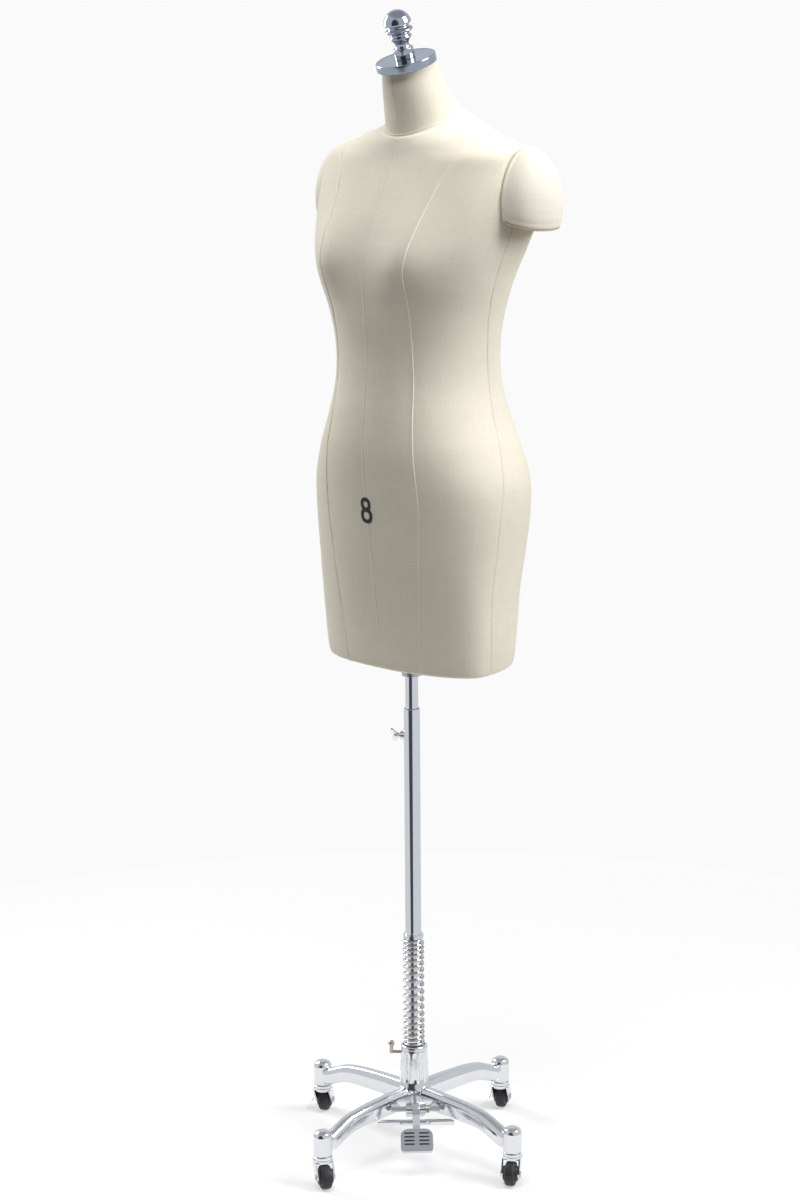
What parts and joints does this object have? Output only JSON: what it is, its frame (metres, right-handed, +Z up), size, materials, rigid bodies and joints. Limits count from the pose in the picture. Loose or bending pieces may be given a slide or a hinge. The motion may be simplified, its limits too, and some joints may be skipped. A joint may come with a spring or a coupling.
{
  "type": "dress form mannequin",
  "caption": "Female dress form torso in seamed linen with neck cap, finial and shoulder caps, on a telescopic chrome pole with spring, foot pedal and a wheeled cross base.",
  "frame": {"origin": "on the floor, under the pole's axis in the middle of the four casters", "axes": "+Z up along the pole, the form's chest faces -Y and its left side faces +X"},
  "size_m": [0.4672, 0.4629, 1.7688],
  "materials": {
    "linen": "woven natural linen over thin padding",
    "shell": "moulded papier-mache style shell",
    "board": "plywood and hardboard",
    "wheel": "black tread",
    "steel": "zinc plated",
    "cast": "chrome plated casting",
    "nylon": "black nylon",
    "spring": "bright nickel wire",
    "caster_metal": "bright plated pressing",
    "chrome": "polished chrome"
  },
  "bodies": {
    "base": {"hub": "cast", "leg_front": "cast", "leg_right": "cast", "leg_back": "cast", "leg_left": "cast", "cross_bar": "cast", "pivot_shaft": "steel", "pivot_bosses": "cast", "pedal_spring": "steel", "height_spring": "spring"},
    "pedal": {"pedal_arm": "cast", "pedal_pad": "cast"},
    "grip_plate": {"lock_plate": "steel"},
    "swivel_lock": {"lock_handle": "chrome"},
    "spring_seat": {"thrust_ring": "chrome"},
    "outer_pole": {"outer_tube": "chrome", "cross_pin": "chrome", "wing_boss": "chrome", "tube_bushing": "nylon"},
    "wing": {"wing_screw": "chrome"},
    "form": {"inner_tube": "chrome", "pole_flange": "steel", "flange_screws": "steel", "bottom_board": "board", "torso_shell_front": "shell", "torso_shell_back": "shell", "neck_block": "board", "neck_cap": "chrome", "neck_stud": "steel", "panel_front_left": "linen", "panel_front_right": "linen", "panel_side_front_left": "linen", "panel_side_front_right": "linen", "panel_side_back_left": "linen", "panel_side_back_right": "linen", "panel_back_left": "linen", "panel_back_right": "linen", "neck_covers": "linen", "armhole_boards": "board"},
    "knob": {"finial": "chrome"},
    "shoulder_left": {"cap_left": "linen", "cap_board_left": "board", "cap_magnets_left": "steel"},
    "shoulder_right": {"cap_right": "linen", "cap_board_right": "board", "cap_magnets_right": "steel"},
    "caster_front": {"fork_front": "caster_metal", "axle_front": "steel"},
    "roller_front": {"wheel_front": "wheel"},
    "caster_left": {"fork_left": "caster_metal", "axle_left": "steel"},
    "roller_left": {"wheel_left": "wheel"},
    "caster_back": {"fork_back": "caster_metal", "axle_back": "steel"},
    "roller_back": {"wheel_back": "wheel"},
    "brake_lever_back": {"brake_back": "caster_metal"},
    "caster_right": {"fork_right": "caster_metal", "axle_right": "steel"},
    "roller_right": {"wheel_right": "wheel"},
    "brake_lever_right": {"brake_right": "caster_metal"}
  },
  "joints": [
    {"name": "pole_press", "type": "slide", "parent": "base", "child": "spring_seat", "axis": [0, 0, 1], "range_m": [-0.05, 0], "stiffness_N_per_m": 1600, "springref_m": 0.09, "deforming": ["height_spring"]},
    {"name": "form_swivel", "type": "hinge", "parent": "spring_seat", "child": "outer_pole", "pos_m": [0, 0, 0.35], "axis": [0, 0, 1], "continuous": true},
    {"name": "height_slide", "type": "slide", "parent": "outer_pole", "child": "form", "axis": [0, 0, 1], "range_m": [-0.045, 0.12]},
    {"name": "wing_turn", "type": "hinge", "parent": "outer_pole", "child": "wing", "pos_m": [0, 0, 0.673], "axis": [-0.9397, -0.342, 0], "range_deg": [0, 180]},
    {"name": "swivel_lock_turn", "type": "hinge", "parent": "base", "child": "swivel_lock", "pos_m": [0, 0, 0.158], "axis": [-0.766, -0.6428, 0], "range_deg": [0, 90]},
    {"name": "pedal_press", "type": "hinge", "parent": "base", "child": "pedal", "pos_m": [0.04101, -0.04101, 0.086], "axis": [0.7071, 0.7071, 0], "range_deg": [0, 10], "stiffness_Nm_per_rad": 6, "springref_deg": -20.05},
    {"name": "grip_plate_tilt", "type": "hinge", "parent": "base", "child": "grip_plate", "pos_m": [-0.01414, 0.01414, 0.062], "axis": [-0.7071, -0.7071, 0], "range_deg": [0, 5]},
    {"name": "knob_turn", "type": "hinge", "parent": "form", "child": "knob", "pos_m": [0, -0.001, 1.688], "axis": [0, -0.309, 0.9511], "range_deg": [0, 360]},
    {"name": "cap_left_pull", "type": "slide", "parent": "form", "child": "shoulder_left", "axis": [1, 0, 0], "range_m": [0, 0.05]},
    {"name": "cap_right_pull", "type": "slide", "parent": "form", "child": "shoulder_right", "axis": [-1, 0, 0], "range_m": [0, 0.05]},
    {"name": "caster_front_swivel", "type": "hinge", "parent": "base", "child": "caster_front", "pos_m": [0, -0.206, 0.05], "axis": [0, 0, 1], "continuous": true},
    {"name": "wheel_front_roll", "type": "hinge", "parent": "caster_front", "child": "roller_front", "pos_m": [0.01039, -0.212, 0.019], "axis": [0.5, 0.866, 0], "continuous": true},
    {"name": "caster_left_swivel", "type": "hinge", "parent": "base", "child": "caster_left", "pos_m": [0.206, 0, 0.05], "axis": [0, 0, 1], "continuous": true},
    {"name": "wheel_left_roll", "type": "hinge", "parent": "caster_left", "child": "roller_left", "pos_m": [0.212, -0.01039, 0.019], "axis": [0.866, 0.5, 0], "continuous": true},
    {"name": "caster_back_swivel", "type": "hinge", "parent": "base", "child": "caster_back", "pos_m": [0, 0.206, 0.05], "axis": [0, 0, 1], "continuous": true},
    {"name": "wheel_back_roll", "type": "hinge", "parent": "caster_back", "child": "roller_back", "pos_m": [-0.006, 0.21639, 0.019], "axis": [-0.866, -0.5, 0], "continuous": true},
    {"name": "brake_back_press", "type": "hinge", "parent": "caster_back", "child": "brake_lever_back", "pos_m": [-0.0202, 0.20819, 0.029], "axis": [0.5, -0.866, 0], "range_deg": [0, 8]},
    {"name": "caster_right_swivel", "type": "hinge", "parent": "base", "child": "caster_right", "pos_m": [-0.206, 0, 0.05], "axis": [0, 0, 1], "continuous": true},
    {"name": "wheel_right_roll", "type": "hinge", "parent": "caster_right", "child": "roller_right", "pos_m": [-0.212, 0.01039, 0.019], "axis": [-0.866, -0.5, 0], "continuous": true},
    {"name": "brake_right_press", "type": "hinge", "parent": "caster_right", "child": "brake_lever_right", "pos_m": [-0.2262, 0.00219, 0.029], "axis": [0.5, -0.866, 0], "range_deg": [0, 8]}
  ],
  "couplings": [
    {"joint": "grip_plate_tilt", "follows": "pedal_press", "ratio": 0.5}
  ]
}
